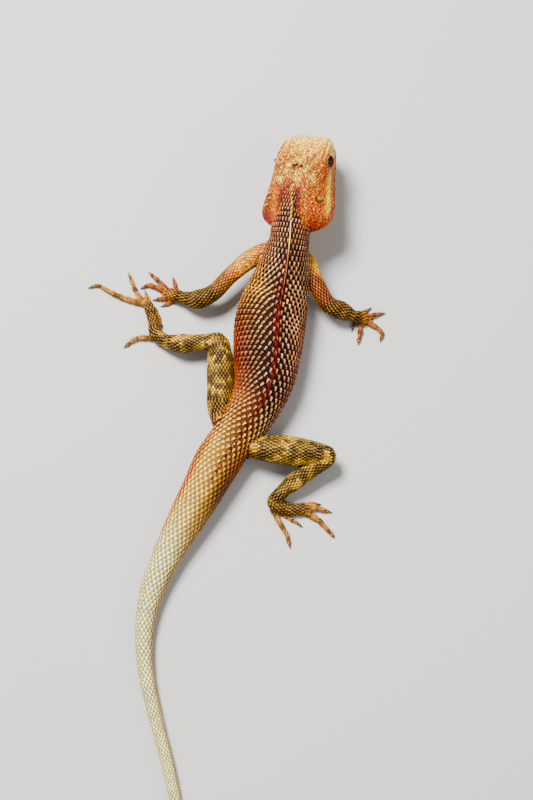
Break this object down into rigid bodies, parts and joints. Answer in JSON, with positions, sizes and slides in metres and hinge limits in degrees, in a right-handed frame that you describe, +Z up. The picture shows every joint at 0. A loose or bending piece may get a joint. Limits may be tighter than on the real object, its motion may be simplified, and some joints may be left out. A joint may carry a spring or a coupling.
{
  "type": "oriental garden lizard",
  "caption": "Still, life-size garden lizard lying belly down, limbs spread, head raised, with a low back crest and a long tail.",
  "frame": {"origin": "middle of the model's box, on the floor that it lies on", "axes": "+Y towards the head, +X to the animal's right, +Z up"},
  "size_m": [0.101, 0.3583, 0.0286],
  "materials": {
    "head_skin": "satin",
    "body_skin": "satin",
    "tail_skin": "satin",
    "arm_skin": "satin",
    "leg_skin": "satin",
    "ear_drum": "satin",
    "eye": "gloss",
    "claw": "satin"
  },
  "bodies": {
    "root": {"head": "head_skin", "eye_left": "eye", "eye_right": "eye", "ear_left": "ear_drum", "ear_right": "ear_drum", "neck": "body_skin", "torso": "body_skin", "pelvis": "body_skin", "tail_1": "tail_skin", "tail_2": "tail_skin", "tail_3": "tail_skin", "tail_4": "tail_skin", "tail_5": "tail_skin", "tail_6": "tail_skin", "upper_arm_left": "arm_skin", "forearm_left": "arm_skin", "hand_left": "arm_skin", "upper_arm_right": "arm_skin", "forearm_right": "arm_skin", "hand_right": "arm_skin", "thigh_left": "leg_skin", "shin_left": "leg_skin", "foot_left": "leg_skin", "thigh_right": "leg_skin", "shin_right": "leg_skin", "foot_right": "leg_skin"}
  },
  "joints": []
}
